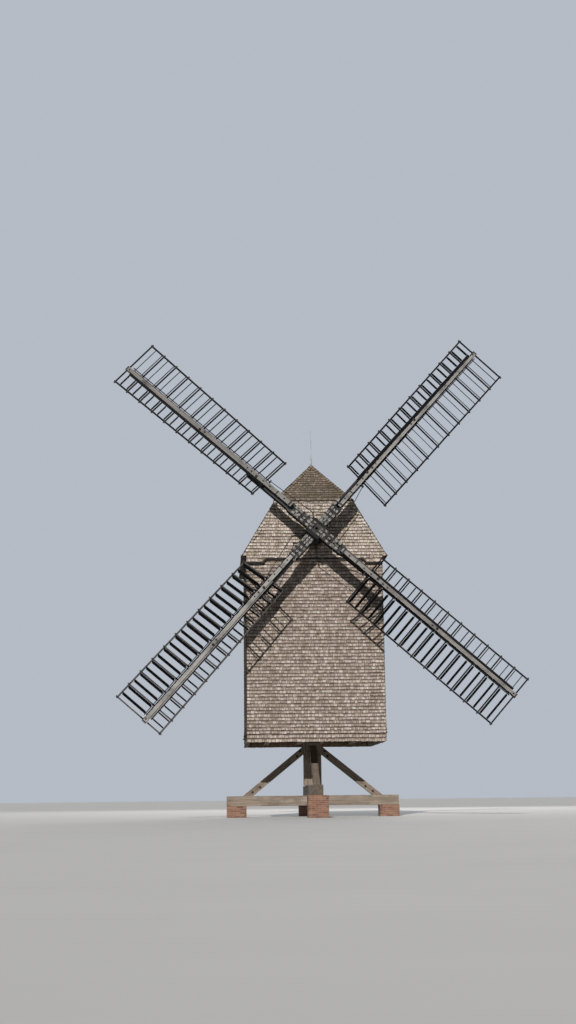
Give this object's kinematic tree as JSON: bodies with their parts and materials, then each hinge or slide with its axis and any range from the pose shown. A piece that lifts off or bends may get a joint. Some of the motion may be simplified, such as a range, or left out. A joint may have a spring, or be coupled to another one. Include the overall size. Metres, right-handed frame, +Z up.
{
  "type": "traditional windmill",
  "caption": "Shingle-clad post mill: a boarded house turning on a timber trestle, with four shuttered sails on a tilted windshaft.",
  "frame": {"origin": "on the ground on the main post's axis, in the plane of the piers' bottom faces", "axes": "+X to the right seen from the front, -Y the way the sails face, +Z up"},
  "size_m": [15.9762, 8.745, 19.0254],
  "materials": {
    "masonry": "rough",
    "trestle_oak": "weathered",
    "frame_oak": "sawn",
    "floor_boards": "sawn",
    "wall_shingle": "weathered",
    "gable_shingle": "weathered",
    "roof_shingle": "weathered",
    "bearing_oak": "greased",
    "shaft_oak": "tarred",
    "cast_iron": "painted dark",
    "band_iron": "painted dark",
    "wedge_wood": "weathered",
    "rod_iron": "painted dark",
    "stock_timber": "weathered",
    "whip_timber": "weathered",
    "lattice_timber": "painted dark",
    "shutter_timber": "painted dark",
    "rod_steel": "galvanised"
  },
  "bodies": {
    "trestle": {"crosstree_lower": "trestle_oak", "crosstree_upper": "trestle_oak", "main_post": "trestle_oak", "piers": "masonry", "quarterbars": "trestle_oak"},
    "house": {"breast_beam": "frame_oak", "crown_tree": "frame_oak", "floor": "floor_boards", "floor_frame": "frame_oak", "front_gable": "gable_shingle", "front_half_hip": "roof_shingle", "front_wall": "wall_shingle", "girts": "frame_oak", "left_wall": "wall_shingle", "lightning_rod": "rod_steel", "rear_gable": "gable_shingle", "rear_half_hip": "roof_shingle", "rear_wall": "wall_shingle", "right_wall": "wall_shingle", "roof_left_lower": "roof_shingle", "roof_left_upper": "roof_shingle", "roof_right_lower": "roof_shingle", "roof_right_upper": "roof_shingle", "shaft_bearings": "bearing_oak", "tail_beam": "frame_oak"},
    "rotor": {"arm_bands": "band_iron", "arm_wedges": "wedge_wood", "control_rods": "rod_iron", "front_stock": "stock_timber", "poll_end": "cast_iron", "rear_stock": "stock_timber", "sail_frame_lower_left": "lattice_timber", "sail_frame_lower_right": "lattice_timber", "sail_frame_upper_left": "lattice_timber", "sail_frame_upper_right": "lattice_timber", "shutters_lower_left": "shutter_timber", "shutters_lower_right": "shutter_timber", "shutters_upper_left": "shutter_timber", "shutters_upper_right": "shutter_timber", "spider": "cast_iron", "whip_lower_left": "whip_timber", "whip_lower_right": "whip_timber", "whip_upper_left": "whip_timber", "whip_upper_right": "whip_timber", "windshaft": "shaft_oak"}
  },
  "joints": [
    {"name": "house_turn", "type": "hinge", "parent": "trestle", "child": "house", "pos_m": [0, 0, 5.5], "axis": [0, 0, 1], "continuous": true},
    {"name": "sails_turn", "type": "hinge", "parent": "house", "child": "rotor", "pos_m": [0, -4.287, 11.055], "axis": [0, -0.9969, 0.0785], "continuous": true}
  ]
}
